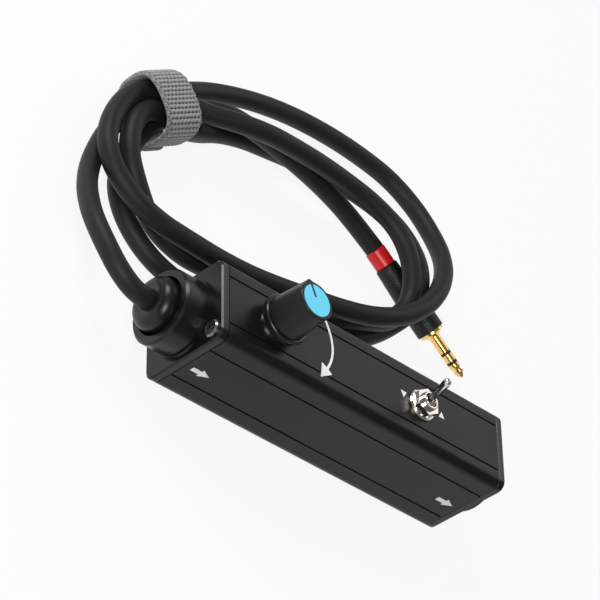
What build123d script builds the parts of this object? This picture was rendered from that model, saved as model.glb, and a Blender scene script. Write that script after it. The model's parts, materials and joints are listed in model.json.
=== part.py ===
"""A ground loop isolator: a slim extruded box with a captive cable and plug, and a three-pin socket.

Millimetres. The origin is on the table under the middle of the housing. +X runs along the housing
towards the output socket, -Y is the side with the flow arrows, and +Z is up through the control face.
The cable leaves the -X end, is coiled on the table behind the housing and ends in a 3.5 mm plug.
"""
from build123d import *
import os
from math import cos, pi, radians, sin, tan

# Housing: one length of extruded aluminium tube
housing_length = 111.0
housing_width = 27.0
housing_height = 32.0
housing_corner = 3.0
housing_wall = 1.6
groove_width = 0.7
groove_depth = 0.35
groove_spacing = 16.0
channel_radius = 2.7
card_slot_ledge = 1.2
card_slot_depth = 1.3
fit_gap = 0.05

# End plates and their screws
plate_thickness = 2.8
plate_edge_chamfer = 0.5
plate_joint_chamfer = 0.3
channel_inset = 2.4
screw_radius = 1.45
screw_length = 12.0
screw_head_radius = 2.75
screw_head_height = 1.1
screw_head_chamfer = 0.5
screw_recess_radius = 1.25
screw_recess_depth = 0.7
screw_recess_width = 0.625

# Cable end: a barrel with a rubber boot in it
barrel_ring_inset = 1.1
barrel_ring_height = 1.2
barrel_ring_step = 0.6
barrel_length = 9.4
barrel_chamfer = 0.7
barrel_wall = 2.6
barrel_bore_depth = 6.0
boot_clearance = 0.9
clamp_radius = 6.6
clamp_length = 9.0
clamp_slot_width = 0.8
boot_shoulder = 1.2
boot_nose = 4.6
boot_nose_radius = 4.2

# Output end: a three-pin socket
shell_clearance = 0.7
shell_wall = 1.8
shell_ring_step = 0.3
shell_ring_height = 3.5
shell_ring_chamfer = 0.6
shell_depth = 15.0
insert_thickness = 4.5
latch_slot_width = 4.4
latch_slot_depth = 0.9
contact_circle_radius = 4.2
contact_radius = 1.2
contact_recess = 2.6
contact_tail = 5.5
contact_cup_depth = 3.0
contact_tip_chamfer = 0.5
contact_cup_radius = 0.78

# Potentiometer, its nut and washer, and the knob
knob_from_end = 18.2
pot_body_length = 11.4
pot_body_width = 9.0
pot_body_height = 6.6
pot_lid_thickness = 0.6
pot_corner = 1.2
pot_wall = 0.6
rotor_clearance = 0.3
rotor_thickness = 1.4
bushing_radius = 3.5
bushing_chamfer = 0.3
pot_bushing_rise = 3.0
pot_shaft_radius = 3.0
pot_shaft_rise = 12.6
pot_shaft_chamfer = 0.4
pot_flat_depth = 1.5
pot_washer_radius = 5.6
pot_washer_thickness = 0.5
pot_nut_flats = 10.0
pot_nut_height = 1.9
knob_floor_gap = 2.2
knob_height = 14.2
knob_top_radius = 6.0
knob_waist_radius = 6.95
knob_skirt_radius = 7.5
knob_skirt_height = 2.1
knob_groove_height = 0.35
knob_hollow_radius = 6.2
knob_hollow_height = 1.6
knob_bore_depth = 11.0
knob_edge_chamfer = 0.25
knob_pointer_angle = 114.0
knob_pointer_reach = 6.9
knob_pointer_seat = 0.8
knob_pointer_spread = 0.5
cap_radius = 5.05
cap_thickness = 0.8
cap_slot_width = 0.9
cap_slot_start = 1.1

# Toggle switch
toggle_from_end = 33.3
toggle_body_length = 13.2
toggle_body_width = 8.0
toggle_body_height = 9.4
toggle_case_wall = 1.5
toggle_frame_thickness = 0.5
toggle_corner = 0.6
rocker_room = 5.2
toggle_bushing_radius = 3.0
toggle_bushing_bore = 2.3
toggle_bushing_rise = 4.2
lock_washer_radius = 4.6
lock_washer_thickness = 0.6
lock_washer_teeth = 10
lock_washer_notch_depth = 0.6
lock_washer_notch_width = 0.8
flat_washer_radius = 5.1
flat_washer_thickness = 0.8
flat_washer_chamfer = 0.3
toggle_nut_flats = 8.0
toggle_nut_turn = 30.0
toggle_nut_height = 1.9
lever_pivot_drop = 1.9
lever_tilt = 16.5
lever_reach = 13.1
lever_tip_radius = 1.3
lever_neck_radius = 1.05
lever_neck_reach = 2.7
lever_ball_radius = 2.25
lever_stub_radius = 0.8
lever_stub_length = 3.4
lug_width = 2.0
lug_thickness = 0.7
lug_length = 4.4
lug_spacing = 4.7
lug_hole_radius = 0.55
lug_hole_drop = 2.86

# Circuit board and the audio transformer on it
board_thickness = 1.6
board_height = 8.8
board_from_end = 27.5
board_to_socket = 8.3
wire_hole_radius = 0.6
wire_hole_inset = 3.0
wire_hole_spacing = 4.0
transformer_shift = 12.0
core_length = 19.2
core_head_room = 3.6
core_stack = 6.6
core_yoke = 3.0
core_leg = 4.8
core_lift = 0.8
former_wall = 0.6
former_flange = 0.7
window_gap = 0.15
winding_step = 0.4
rail_width = 3.0
rail_gap = 0.4
pin_radius = 0.35
pin_spacing = 5.0
pin_rows = 3
pin_below_board = 1.6

# Cable and coil
cord_radius = 3.25
cord_stub_length = 12.5
conductor_radius = 0.9
conductor_length = 7.0
conductor_circle_radius = 1.3
cord_overlap = 0.6
cord_share = 0.45
coil_tie_height = 14.2
coil_ridge_height = 19.5
coil_end_height = 8.0
coil_low_x = -32.0
coil_low_y = 73.5
coil_tunnel_gap = 0.4

# Hook-and-loop tie round the coil
tie_x = -60.3
tie_y = 80.6
tie_angle = 32.0
tie_strap_width = 16.0
tie_strap_thickness = 1.7
tie_opening_width = 21.8
tie_opening_height = 12.4
tie_tab_length = 7.5

# Plug on the end of the cable, lying on the table
plug_tail_x = 33.7
plug_tail_y = 78.4
plug_angle = -38.4
sleeve_ring_radius = 3.4
sleeve_ring_length = 6.2
sleeve_ring_chamfer = 0.3
plug_barrel_tail_radius = 3.75
plug_barrel_radius = 4.6
plug_barrel_length = 25.2
plug_barrel_straight = 6.3
plug_barrel_chamfer = 0.4
collar_radius = 4.0
collar_rim = 0.9
collar_length = 2.0
collar_neck_radius = 2.3
plug_pin_radius = 1.75
plug_sleeve_length = 6.1
plug_insulator_length = 1.0
plug_ring_length = 2.6
plug_tip_length = 5.1
plug_tip_land = 1.1
plug_tip_neck = 1.15
plug_tip_neck_reach = 2.3
plug_tip_shoulder = 1.63
plug_tip_shoulder_reach = 3.2
plug_tip_point = 0.55

# Sizes and places that follow from the ones above
end_x = housing_length / 2
middle_z = housing_height / 2
inner_width = housing_width - 2 * housing_wall
inner_height = housing_height - 2 * housing_wall
inner_top = housing_height - housing_wall
plate_face = end_x + plate_thickness
barrel_ring_radius = housing_width / 2 - barrel_ring_inset
barrel_radius = barrel_ring_radius - barrel_ring_step
barrel_bore_radius = barrel_radius - barrel_wall
boot_radius = barrel_bore_radius - boot_clearance
shell_radius = inner_width / 2 - shell_clearance
shell_bore_radius = shell_radius - shell_wall
shell_ring_radius = shell_radius + shell_ring_step
barrel_face = plate_face + barrel_length
board_top = board_height + board_thickness
core_height = inner_top - core_head_room - core_lift - board_top
former_width = core_stack + 2 * (rail_width + rail_gap)
winding_width = former_width - 2 * winding_step
screw_spacing_y = inner_width - 2 * channel_inset
screw_spacing_z = inner_height - 2 * channel_inset
knob_x = -end_x + knob_from_end
toggle_x = end_x - toggle_from_end
ring_face = plate_face + shell_ring_height
insert_front = ring_face - shell_depth
insert_back = insert_front - insert_thickness
board_start = -end_x + board_from_end
board_end = insert_back - board_to_socket
board_length = board_end - board_start
board_middle_x = (board_start + board_end) / 2
transformer_x = board_middle_x - transformer_shift
screw_places = [(-screw_spacing_y / 2, middle_z + screw_spacing_z / 2),
                (screw_spacing_y / 2, middle_z - screw_spacing_z / 2)]
knob_floor = housing_height + knob_floor_gap
knob_top = knob_floor + knob_height
pot_top = inner_top
toggle_top = inner_top
lever_pivot_z = housing_height + toggle_bushing_rise - lever_pivot_drop
plug_axis_z = plug_barrel_radius

os.makedirs("parts", exist_ok=True)


def end_outline(shrink=0.0):
    """The rounded outline that the housing and both end plates share, seen along X."""
    RectangleRounded(housing_width - 2 * shrink, housing_height - 2 * shrink, housing_corner - shrink)


def cross_plane(x):
    """A plane across the housing at x, with its own x axis along +Y and its y axis up."""
    return Plane(origin=(x, 0, middle_z), x_dir=(0, 1, 0), z_dir=(1, 0, 0))


def hexagon(flats, turn=0.0):
    """A hexagon with the given distance across its flats, turned about its middle."""
    RegularPolygon(radius=flats / 2, side_count=6, major_radius=False, rotation=turn)


# Housing
with BuildPart() as housing:
    with BuildSketch(cross_plane(-end_x)):
        end_outline()
        with Locations((0, -middle_z), (0, middle_z)):
            with GridLocations(groove_spacing, 1, 2, 1):
                Rectangle(groove_width, 2 * groove_depth, mode=Mode.SUBTRACT)
        with Locations((-housing_width / 2, 0), (housing_width / 2, 0)):
            with GridLocations(1, groove_spacing, 1, 2):
                Rectangle(2 * groove_depth, groove_width, mode=Mode.SUBTRACT)
    extrude(amount=housing_length)
    with BuildSketch(cross_plane(-end_x)) as bore_sketch:
        Rectangle(inner_width, inner_height)
        with GridLocations(screw_spacing_y, screw_spacing_z, 2, 2):
            Circle(channel_radius, mode=Mode.SUBTRACT)
        with GridLocations(inner_width, 1, 2, 1):
            with Locations((0, board_height - card_slot_ledge / 2 - middle_z),
                           (0, board_top + fit_gap + card_slot_ledge / 2 - middle_z)):
                Rectangle(2 * card_slot_depth, card_slot_ledge, mode=Mode.SUBTRACT)
        with GridLocations(screw_spacing_y, screw_spacing_z, 2, 2):
            Circle(screw_radius + fit_gap)
    extrude(amount=housing_length, mode=Mode.SUBTRACT)
    with Locations((knob_x, 0, housing_height)):
        Hole(bushing_radius + fit_gap, depth=2 * housing_wall)
    with Locations((toggle_x, 0, housing_height)):
        Hole(toggle_bushing_radius + fit_gap, depth=2 * housing_wall)
housing.part.label = "housing"
export_step(housing.part, "parts/housing.step")

# Cable-end plate: a flat plate, a barrel in front and a bored boss behind
with BuildPart() as inlet_plate:
    with BuildSketch(cross_plane(-plate_face)):
        end_outline()
    extrude(amount=plate_thickness)
    chamfer(inlet_plate.faces().sort_by(Axis.X)[0].edges(), plate_edge_chamfer)
    chamfer(inlet_plate.faces().sort_by(Axis.X)[-1].edges(), plate_joint_chamfer)
    with BuildSketch(cross_plane(-plate_face)):
        Circle(barrel_radius)
    extrude(amount=-barrel_length)
    chamfer(inlet_plate.faces().sort_by(Axis.X)[0].edges(), barrel_chamfer)
    with BuildSketch(cross_plane(-plate_face)):
        Circle(barrel_ring_radius)
    extrude(amount=-barrel_ring_height)
    with BuildSketch(cross_plane(-end_x)):
        Circle(clamp_radius + housing_wall)
    extrude(amount=clamp_length / 2)
    with BuildSketch(cross_plane(-barrel_face)):
        Circle(barrel_bore_radius)
    extrude(amount=barrel_bore_depth, mode=Mode.SUBTRACT)
    with BuildSketch(cross_plane(-barrel_face + barrel_bore_depth)):
        Circle(clamp_radius + fit_gap)
    extrude(amount=barrel_length + plate_thickness + clamp_length, mode=Mode.SUBTRACT)
    with BuildSketch(cross_plane(-plate_face)):
        with Locations(*[(y, z - middle_z) for y, z in screw_places]):
            Circle(screw_radius + fit_gap)
    extrude(amount=plate_thickness, mode=Mode.SUBTRACT)
inlet_plate.part.label = "inlet_plate"
export_step(inlet_plate.part, "parts/inlet_plate.step")

# Collet that grips the cable behind the boot
clamp_start = -barrel_face + barrel_bore_depth
with BuildPart() as cord_clamp:
    with BuildSketch(cross_plane(clamp_start)):
        Circle(clamp_radius)
        Circle(cord_radius, mode=Mode.SUBTRACT)
        with Locations((0, clamp_radius)):
            Rectangle(clamp_slot_width, 2 * clamp_radius, mode=Mode.SUBTRACT)
    extrude(amount=clamp_length)
cord_clamp.part.label = "cord_clamp"
export_step(cord_clamp.part, "parts/cord_clamp.step")

# Rubber boot: a plain stem in the barrel's bore and a domed nose round the cable
boot_front = -barrel_face - boot_shoulder
boot_tip = -barrel_face - boot_nose
with BuildPart() as boot:
    with BuildSketch(Plane.XZ):
        with BuildLine():
            Polyline((clamp_start, middle_z), (clamp_start, middle_z + boot_radius),
                     (boot_front, middle_z + boot_radius))
            TangentArc((boot_front, middle_z + boot_radius), (boot_tip, middle_z + boot_nose_radius),
                       tangent=(-1, 0))
            Polyline((boot_tip, middle_z + boot_nose_radius), (boot_tip, middle_z),
                     (clamp_start, middle_z))
        make_face()
    revolve(axis=Axis((0, 0, middle_z), (1, 0, 0)))
    with BuildSketch(cross_plane(boot_tip)):
        Circle(cord_radius)
    extrude(amount=clamp_start - boot_tip, mode=Mode.SUBTRACT)
boot.part.label = "boot"
export_step(boot.part, "parts/boot.step")

# The three-pin socket: plate, ring and deep shell in one casting
contact_places = [(contact_circle_radius * cos(radians(a)), contact_circle_radius * sin(radians(a)))
                  for a in (0, 180, 270)]
with BuildPart() as outlet_shell:
    with BuildSketch(cross_plane(end_x)):
        end_outline()
    extrude(amount=plate_thickness)
    chamfer(outlet_shell.faces().sort_by(Axis.X)[-1].edges(), plate_edge_chamfer)
    chamfer(outlet_shell.faces().sort_by(Axis.X)[0].edges(), plate_joint_chamfer)
    with BuildSketch(cross_plane(plate_face)):
        Circle(shell_ring_radius)
    extrude(amount=shell_ring_height)
    chamfer(outlet_shell.faces().sort_by(Axis.X)[-1].edges(), shell_ring_chamfer)
    with BuildSketch(cross_plane(end_x)):
        Circle(shell_radius)
    extrude(amount=insert_back - end_x)
    with BuildSketch(cross_plane(ring_face)):
        Circle(shell_bore_radius)
        with Locations((0, shell_bore_radius)):
            Rectangle(latch_slot_width, 2 * latch_slot_depth)
    extrude(amount=-shell_depth, mode=Mode.SUBTRACT)
    with BuildSketch(cross_plane(insert_front)):
        Circle(shell_bore_radius + fit_gap)
    extrude(amount=-insert_thickness, mode=Mode.SUBTRACT)
    with BuildSketch(cross_plane(end_x)):
        with Locations(*[(y, z - middle_z) for y, z in screw_places]):
            Circle(screw_radius + fit_gap)
    extrude(amount=plate_thickness, mode=Mode.SUBTRACT)
outlet_shell.part.label = "outlet_shell"
export_step(outlet_shell.part, "parts/outlet_shell.step")

with BuildPart() as outlet_insert:
    with BuildSketch(cross_plane(insert_back)):
        Circle(shell_bore_radius)
        with Locations(*contact_places):
            Circle(contact_radius, mode=Mode.SUBTRACT)
    extrude(amount=insert_thickness)
outlet_insert.part.label = "outlet_insert"
export_step(outlet_insert.part, "parts/outlet_insert.step")

# Three contacts: round tips in front and solder cups behind
with BuildPart() as outlet_contacts:
    with BuildSketch(cross_plane(insert_back - contact_tail)):
        with Locations(*contact_places):
            Circle(contact_radius)
    extrude(amount=ring_face - contact_recess - insert_back + contact_tail)
    chamfer(outlet_contacts.faces().filter_by(Axis.X).group_by(Axis.X)[-1].edges(), contact_tip_chamfer)
    with BuildSketch(cross_plane(insert_back - contact_tail)):
        with Locations(*contact_places):
            Circle(contact_cup_radius)
    extrude(amount=contact_cup_depth, mode=Mode.SUBTRACT)
outlet_contacts.part.label = "outlet_contacts"
export_step(outlet_contacts.part, "parts/outlet_contacts.step")

# Two cross-head screws in opposite corners of each end plate
for name, face, outward in (("inlet_screws", -plate_face, -1), ("outlet_screws", plate_face, 1)):
    with BuildPart() as screws:
        with BuildSketch(cross_plane(face)):
            with Locations(*[(y, z - middle_z) for y, z in screw_places]):
                Circle(screw_head_radius)
        extrude(amount=outward * screw_head_height)
        rims = screws.faces().filter_by(Axis.X).group_by(Axis.X)[0 if outward < 0 else -1]
        chamfer(rims.edges(), screw_head_chamfer)
        with BuildSketch(cross_plane(face)):
            with Locations(*[(y, z - middle_z) for y, z in screw_places]):
                Circle(screw_radius)
        extrude(amount=-outward * screw_length)
        with BuildSketch(cross_plane(face + outward * screw_head_height)):
            with Locations(*[(y, z - middle_z) for y, z in screw_places]):
                Rectangle(2 * screw_recess_radius, screw_recess_width)
                Rectangle(screw_recess_width, 2 * screw_recess_radius)
        extrude(amount=-outward * screw_recess_depth, mode=Mode.SUBTRACT)
    screws.part.label = name
    export_step(screws.part, "parts/" + name + ".step")

# Potentiometer: a body under the panel, a lid with the threaded bushing, and the shaft in it
pot_cavity_radius = pot_body_width / 2 - pot_wall
with BuildPart() as pot_body:
    with BuildSketch(Plane.XY.offset(pot_top - pot_body_height)):
        with Locations((knob_x, 0)):
            Rectangle(pot_body_length, pot_body_width)
    extrude(amount=pot_body_height - pot_lid_thickness)
    fillet(pot_body.edges().filter_by(Axis.Z), pot_corner)
    with BuildSketch(Plane.XY.offset(pot_top - pot_lid_thickness)):
        with Locations((knob_x, 0)):
            Circle(pot_cavity_radius)
    extrude(amount=-(rotor_thickness + 2 * rotor_clearance), mode=Mode.SUBTRACT)
pot_body.part.label = "pot_body"
export_step(pot_body.part, "parts/pot_body.step")

with BuildPart() as pot_bushing:
    with BuildSketch(Plane.XY.offset(pot_top - pot_lid_thickness)):
        with Locations((knob_x, 0)):
            Rectangle(pot_body_length, pot_body_width)
    extrude(amount=pot_lid_thickness)
    fillet(pot_bushing.edges().filter_by(Axis.Z), pot_corner)
    with BuildSketch(Plane.XY.offset(pot_top)):
        with Locations((knob_x, 0)):
            Circle(bushing_radius)
    extrude(amount=housing_height + pot_bushing_rise - pot_top)
    chamfer(pot_bushing.faces().sort_by(Axis.Z)[-1].edges(), bushing_chamfer)
    with Locations((knob_x, 0, housing_height + pot_bushing_rise)):
        Hole(pot_shaft_radius + fit_gap, depth=pot_body_height + pot_bushing_rise + housing_wall)
pot_bushing.part.label = "pot_bushing"
export_step(pot_bushing.part, "parts/pot_bushing.step")

with BuildPart() as pot_washer:
    with BuildSketch(Plane.XY.offset(housing_height)):
        with Locations((knob_x, 0)):
            Circle(pot_washer_radius)
            Circle(bushing_radius + fit_gap, mode=Mode.SUBTRACT)
    extrude(amount=pot_washer_thickness)
pot_washer.part.label = "pot_washer"
export_step(pot_washer.part, "parts/pot_washer.step")

with BuildPart() as pot_nut:
    with BuildSketch(Plane.XY.offset(housing_height + pot_washer_thickness)):
        with Locations((knob_x, 0)):
            hexagon(pot_nut_flats)
            Circle(bushing_radius + fit_gap, mode=Mode.SUBTRACT)
    extrude(amount=pot_nut_height)
pot_nut.part.label = "pot_nut"
export_step(pot_nut.part, "parts/pot_nut.step")

# Shaft with the rotor disc at its foot and a flat along its upper half
rotor_floor = pot_top - pot_lid_thickness - rotor_clearance - rotor_thickness
hollow_top = knob_floor + knob_hollow_height
shaft_flat = pot_shaft_radius - pot_flat_depth
with BuildPart() as pot_shaft:
    with BuildSketch(Plane.XY.offset(rotor_floor)):
        with Locations((knob_x, 0)):
            Circle(pot_cavity_radius - rotor_clearance)
    extrude(amount=rotor_thickness)
    with BuildSketch(Plane.XY.offset(rotor_floor)):
        with Locations((knob_x, 0)):
            Circle(pot_shaft_radius)
    extrude(amount=housing_height + pot_shaft_rise - rotor_floor)
    chamfer(pot_shaft.faces().sort_by(Axis.Z)[-1].edges(), pot_shaft_chamfer)
    with BuildSketch(Plane.XY.offset(hollow_top)):
        with Locations((knob_x + shaft_flat + pot_shaft_radius, 0)):
            Rectangle(2 * pot_shaft_radius, 3 * pot_shaft_radius)
    extrude(amount=knob_height, mode=Mode.SUBTRACT)
pot_shaft.part.label = "pot_shaft"
export_step(pot_shaft.part, "parts/pot_shaft.step")

# Knob: skirt, groove, tapered body with a pointer ridge, a D-shaped bore and a seat for the cap
skirt_top = knob_floor + knob_skirt_height
body_floor = skirt_top + knob_groove_height
knob_middle = Axis((knob_x, 0, 0), (0, 0, 1))
with BuildPart() as knob:
    with BuildSketch(Plane.XZ):
        with BuildLine():
            Polyline((knob_x, hollow_top), (knob_x + knob_hollow_radius, hollow_top),
                     (knob_x + knob_hollow_radius, knob_floor), (knob_x + knob_skirt_radius, knob_floor),
                     (knob_x + knob_skirt_radius, skirt_top),
                     (knob_x + knob_waist_radius - knob_groove_height, skirt_top),
                     (knob_x + knob_waist_radius - knob_groove_height, body_floor),
                     (knob_x + knob_waist_radius, body_floor), (knob_x + knob_top_radius, knob_top),
                     (knob_x, knob_top), (knob_x, hollow_top))
        make_face()
    revolve(axis=knob_middle)
    for height, body_radius, reach in ((body_floor, knob_waist_radius, knob_skirt_radius),
                                       (knob_top, knob_top_radius, knob_pointer_reach)):
        with BuildSketch(Plane.XY.offset(height)):
            with Locations((knob_x, 0)):
                Polygon((knob_pointer_seat * body_radius, -knob_pointer_spread * body_radius), (reach, 0),
                        (knob_pointer_seat * body_radius, knob_pointer_spread * body_radius),
                        rotation=knob_pointer_angle, align=None)
    loft()
    chamfer(knob.faces().sort_by(Axis.Z)[-1].edges(), knob_edge_chamfer)
    with BuildSketch(Plane.XY.offset(knob_top - cap_thickness)):
        with Locations((knob_x, 0)):
            Circle(cap_radius + fit_gap)
    extrude(amount=cap_thickness, mode=Mode.SUBTRACT)
    with BuildSketch(Plane.XY.offset(hollow_top)):
        with Locations((knob_x, 0)):
            Circle(pot_shaft_radius + fit_gap)
        with Locations((knob_x + shaft_flat + fit_gap + pot_shaft_radius, 0)):
            Rectangle(2 * pot_shaft_radius, 3 * pot_shaft_radius, mode=Mode.SUBTRACT)
    extrude(amount=knob_bore_depth, mode=Mode.SUBTRACT)
knob.part.label = "knob"
export_step(knob.part, "parts/knob.step")

with BuildPart() as knob_cap:
    with BuildSketch(Plane.XY.offset(knob_top - cap_thickness)):
        with Locations((knob_x, 0)):
            Circle(cap_radius)
            with PolarLocations(cap_slot_start + cap_radius, 1, start_angle=knob_pointer_angle):
                Rectangle(2 * cap_radius, cap_slot_width, mode=Mode.SUBTRACT)
    extrude(amount=cap_thickness)
knob_cap.part.label = "knob_cap"
export_step(knob_cap.part, "parts/knob_cap.step")

# Toggle switch: body, frame with bushing, washers, nut, lever and lugs
toggle_floor = toggle_top - toggle_frame_thickness - toggle_body_height
with BuildPart() as toggle_body:
    with BuildSketch(Plane.XY.offset(toggle_floor)):
        with Locations((toggle_x, 0)):
            Rectangle(toggle_body_length, toggle_body_width)
    extrude(amount=toggle_body_height)
    fillet(toggle_body.edges().filter_by(Axis.Z), toggle_corner)
    with BuildSketch(Plane.XY.offset(toggle_floor + toggle_body_height)):
        with Locations((toggle_x, 0)):
            Rectangle(toggle_body_length - 2 * toggle_case_wall, toggle_body_width - 2 * toggle_case_wall)
    extrude(amount=-rocker_room, mode=Mode.SUBTRACT)
toggle_body.part.label = "toggle_body"
export_step(toggle_body.part, "parts/toggle_body.step")

with BuildPart() as toggle_bushing:
    with BuildSketch(Plane.XY.offset(toggle_top - toggle_frame_thickness)):
        with Locations((toggle_x, 0)):
            Rectangle(toggle_body_length, toggle_body_width)
    extrude(amount=toggle_frame_thickness)
    with BuildSketch(Plane.XY.offset(toggle_top)):
        with Locations((toggle_x, 0)):
            Circle(toggle_bushing_radius)
    extrude(amount=housing_height + toggle_bushing_rise - toggle_top)
    chamfer(toggle_bushing.faces().sort_by(Axis.Z)[-1].edges(), bushing_chamfer)
    with Locations((toggle_x, 0, housing_height + toggle_bushing_rise)):
        Hole(toggle_bushing_bore, depth=toggle_bushing_rise + 2 * housing_wall)
toggle_bushing.part.label = "toggle_bushing"
export_step(toggle_bushing.part, "parts/toggle_bushing.step")

with BuildPart() as flat_washer:
    with BuildSketch(Plane.XY.offset(housing_height)):
        with Locations((toggle_x, 0)):
            Circle(flat_washer_radius)
            Circle(toggle_bushing_radius + fit_gap, mode=Mode.SUBTRACT)
    extrude(amount=flat_washer_thickness)
    chamfer(flat_washer.faces().sort_by(Axis.Z)[-1].edges().sort_by(SortBy.LENGTH)[-1], flat_washer_chamfer)
flat_washer.part.label = "flat_washer"
export_step(flat_washer.part, "parts/flat_washer.step")

with BuildPart() as lock_washer:
    with BuildSketch(Plane.XY.offset(housing_height + flat_washer_thickness)):
        with Locations((toggle_x, 0)):
            Circle(lock_washer_radius)
            Circle(toggle_bushing_radius + fit_gap, mode=Mode.SUBTRACT)
            with PolarLocations(lock_washer_radius, lock_washer_teeth):
                Rectangle(2 * lock_washer_notch_depth, lock_washer_notch_width, mode=Mode.SUBTRACT)
    extrude(amount=lock_washer_thickness / 2)
lock_washer.part.label = "lock_washer"
export_step(lock_washer.part, "parts/lock_washer.step")

with BuildPart() as toggle_nut:
    with BuildSketch(Plane.XY.offset(housing_height + flat_washer_thickness + lock_washer_thickness / 2)):
        with Locations((toggle_x, 0)):
            hexagon(toggle_nut_flats, toggle_nut_turn)
            Circle(toggle_bushing_radius + fit_gap, mode=Mode.SUBTRACT)
    extrude(amount=toggle_nut_height)
toggle_nut.part.label = "toggle_nut"
export_step(toggle_nut.part, "parts/toggle_nut.step")

# Lever: a ball in the bushing, a swelling arm above it and a short stub below
lever_up = (-sin(radians(lever_tilt)), 0, cos(radians(lever_tilt)))
lever_plane = Plane(origin=(toggle_x, 0, lever_pivot_z), x_dir=(lever_up[2], 0, -lever_up[0]),
                    z_dir=(0, -1, 0))
with BuildPart() as lever:
    with BuildSketch(lever_plane):
        with BuildLine():
            Polyline((0, -lever_stub_length), (lever_stub_radius, -lever_stub_length), (lever_stub_radius, 0),
                     (lever_neck_radius, 0), (lever_neck_radius, lever_neck_reach),
                     (lever_tip_radius, lever_reach - lever_tip_radius))
            RadiusArc((lever_tip_radius, lever_reach - lever_tip_radius), (0, lever_reach), -lever_tip_radius)
            Line((0, lever_reach), (0, -lever_stub_length))
        make_face()
    revolve(axis=Axis((toggle_x, 0, lever_pivot_z), lever_up))
    with Locations((toggle_x, 0, lever_pivot_z)):
        Sphere(lever_ball_radius)
lever.part.label = "lever"
export_step(lever.part, "parts/lever.step")

with BuildPart() as toggle_lugs:
    with BuildSketch(Plane.XY.offset(toggle_floor)):
        with Locations((toggle_x, 0)):
            with GridLocations(lug_spacing, lug_spacing, 3, 2):
                Rectangle(lug_thickness, lug_width)
    extrude(amount=-lug_length)
    with BuildSketch(Plane.YZ.offset(toggle_x - toggle_body_length)):
        with Locations((-lug_spacing / 2, toggle_floor - lug_hole_drop),
                       (lug_spacing / 2, toggle_floor - lug_hole_drop)):
            Circle(lug_hole_radius)
    extrude(amount=2 * toggle_body_length, mode=Mode.SUBTRACT)
toggle_lugs.part.label = "toggle_lugs"
export_step(toggle_lugs.part, "parts/toggle_lugs.step")

# Transformer: a three-legged core in two pieces, a former on the middle leg, the winding and the pins
core_floor = board_top + core_lift
core_top = core_floor + core_height
window_floor = core_floor + core_yoke
window_height = core_height - 2 * core_yoke
window_side = (core_length - core_leg - 2 * core_yoke) / 2
core_plane = Plane(origin=(transformer_x, core_stack / 2, 0), x_dir=(1, 0, 0), z_dir=(0, -1, 0))
with BuildPart() as core_legs:
    with BuildSketch(core_plane):
        with Locations((0, core_floor + core_height / 2)):
            Rectangle(core_length, core_height)
            with GridLocations(core_leg + window_side, 1, 2, 1):
                Rectangle(window_side, window_height, mode=Mode.SUBTRACT)
        with Locations((0, core_top - core_yoke / 2)):
            Rectangle(core_length, core_yoke, mode=Mode.SUBTRACT)
    extrude(amount=core_stack)
core_legs.part.label = "core_legs"
export_step(core_legs.part, "parts/core_legs.step")

with BuildPart() as core_yoke_bar:
    with BuildSketch(core_plane):
        with Locations((0, core_top - core_yoke / 2)):
            Rectangle(core_length, core_yoke)
    extrude(amount=core_stack)
core_yoke_bar.part.label = "core_yoke_bar"
export_step(core_yoke_bar.part, "parts/core_yoke_bar.step")

former_floor = window_floor + window_gap
former_height = window_height - 2 * window_gap
former_length = core_leg + 2 * window_side - 2 * window_gap
tube_length = core_leg + 2 * (fit_gap + former_wall)
tube_width = core_stack + 2 * (fit_gap + former_wall)
with BuildPart() as former:
    with BuildSketch(Plane.XY.offset(former_floor)):
        with Locations((transformer_x, 0)):
            Rectangle(former_length, former_width)
    extrude(amount=former_flange)
    with BuildSketch(Plane.XY.offset(former_floor + former_height)):
        with Locations((transformer_x, 0)):
            Rectangle(former_length, former_width)
    extrude(amount=-former_flange)
    with BuildSketch(Plane.XY.offset(former_floor)):
        with Locations((transformer_x, 0)):
            Rectangle(tube_length, tube_width)
    extrude(amount=former_height)
    with BuildSketch(Plane.XY.offset(board_top)):
        with Locations((transformer_x, 0)):
            with GridLocations(1, former_width - rail_width, 1, 2):
                Rectangle(former_length, rail_width)
    extrude(amount=former_floor - board_top)
    with BuildSketch(Plane.XY.offset(former_floor)):
        with Locations((transformer_x, 0)):
            Rectangle(core_leg + 2 * fit_gap, core_stack + 2 * fit_gap)
    extrude(amount=former_height, mode=Mode.SUBTRACT)
    with BuildSketch(Plane.XY.offset(board_top)):
        with Locations((transformer_x, 0)):
            with GridLocations(pin_spacing, former_width - rail_width, pin_rows, 2):
                Circle(pin_radius)
    extrude(amount=former_floor - board_top, mode=Mode.SUBTRACT)
former.part.label = "former"
export_step(former.part, "parts/former.step")

with BuildPart() as winding:
    with BuildSketch(Plane.XY.offset(former_floor + former_flange)):
        with Locations((transformer_x, 0)):
            RectangleRounded(former_length - 2 * fit_gap, winding_width, core_yoke / 2)
            Rectangle(tube_length, tube_width, mode=Mode.SUBTRACT)
    extrude(amount=former_height - 2 * former_flange)
winding.part.label = "winding"
export_step(winding.part, "parts/winding.step")

with BuildPart() as transformer_pins:
    with BuildSketch(Plane.XY.offset(board_height - pin_below_board)):
        with Locations((transformer_x, 0)):
            with GridLocations(pin_spacing, former_width - rail_width, pin_rows, 2):
                Circle(pin_radius)
    extrude(amount=former_floor - board_height + pin_below_board)
transformer_pins.part.label = "transformer_pins"
export_step(transformer_pins.part, "parts/transformer_pins.step")

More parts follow.
